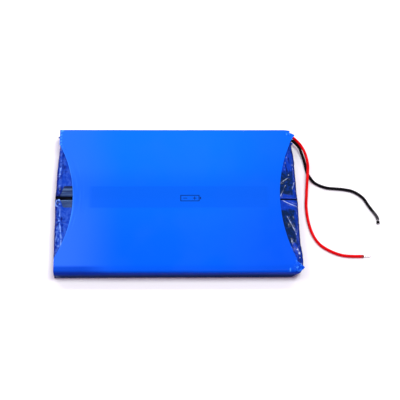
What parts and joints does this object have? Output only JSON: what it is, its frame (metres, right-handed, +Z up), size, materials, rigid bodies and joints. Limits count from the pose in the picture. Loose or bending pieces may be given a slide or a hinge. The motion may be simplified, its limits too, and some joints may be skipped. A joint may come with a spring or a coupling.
{
  "type": "pouch battery pack",
  "caption": "Flat rectangular pouch-cell battery pack in a blue shrink sleeve with open arc-cut ends and thin red and black wire leads leaving one corner.",
  "frame": {"origin": "middle of the pack's footprint on the surface it lies on", "axes": "+X along the pack's length towards the end the leads leave, +Y across its width towards the edge they leave beside, +Z up through its thickness"},
  "size_m": [0.1772, 0.0892, 0.0086],
  "materials": {
    "sleeve_film": "bright blue PVC shrink film, satin gloss",
    "end_film_light": "blue polyester film, glossy, finely wrinkled",
    "end_film_dark": "dark blue polyester film, glossy, sharply creased",
    "joining_tape": "blue adhesive tape",
    "black_foam": "closed-cell foam, matte",
    "pouch_laminate": "satin aluminium laminate",
    "cathode_coating": "matte dark oxide coating on aluminium foil",
    "anode_copper": "graphite-coated copper foil",
    "separator_film": "white porous film",
    "stack_tape": "green polyester tape",
    "tab_aluminium": "rolled foil",
    "nickel": "rolled nickel strip",
    "sealant": "translucent polypropylene strip",
    "board_laminate": "green glass-epoxy board, satin",
    "copper_land": "tinned copper land",
    "chip_body": "moulded epoxy, matte",
    "capacitor_body": "ceramic chip, satin",
    "fish_paper": "insulating paper, matte",
    "solder": "bright solder",
    "amber_tape": "polyimide tape, glossy",
    "red_insulation": "red PVC insulation, satin",
    "black_insulation": "black PVC insulation, satin",
    "tinned_copper": "twisted strands, tinned"
  },
  "bodies": {
    "root": {"shrink_sleeve": "sleeve_film", "rear_left_end_film": "end_film_light", "front_left_end_film": "end_film_light", "right_end_film": "end_film_dark", "cell_joining_tape": "joining_tape", "gap_foam_strip": "black_foam", "rear_pouch_cup": "pouch_laminate", "rear_pouch_cover": "pouch_laminate", "rear_cathode_sheets": "cathode_coating", "rear_anode_sheets": "anode_copper", "rear_separator": "separator_film", "rear_stack_tapes": "stack_tape", "rear_positive_tab": "tab_aluminium", "rear_negative_tab": "nickel", "rear_tab_sealants": "sealant", "front_pouch_cup": "pouch_laminate", "front_pouch_cover": "pouch_laminate", "front_cathode_sheets": "cathode_coating", "front_anode_sheets": "anode_copper", "front_separator": "separator_film", "front_stack_tapes": "stack_tape", "front_positive_tab": "tab_aluminium", "front_negative_tab": "nickel", "front_tab_sealants": "sealant", "protection_board": "board_laminate", "board_pads": "copper_land", "mosfets": "chip_body", "protection_ic": "chip_body", "chip_resistors": "chip_body", "chip_capacitors": "capacitor_body", "positive_strip": "nickel", "negative_strip": "nickel", "series_link_strip": "nickel", "insulation_paper": "fish_paper", "foam_pads": "black_foam", "solder_joints": "solder", "lead_hold_tape": "amber_tape", "red_lead": "red_insulation", "black_lead": "black_insulation", "red_lead_tip": "tinned_copper", "black_lead_tip": "tinned_copper", "black_lead_slug": "black_insulation"}
  },
  "joints": []
}
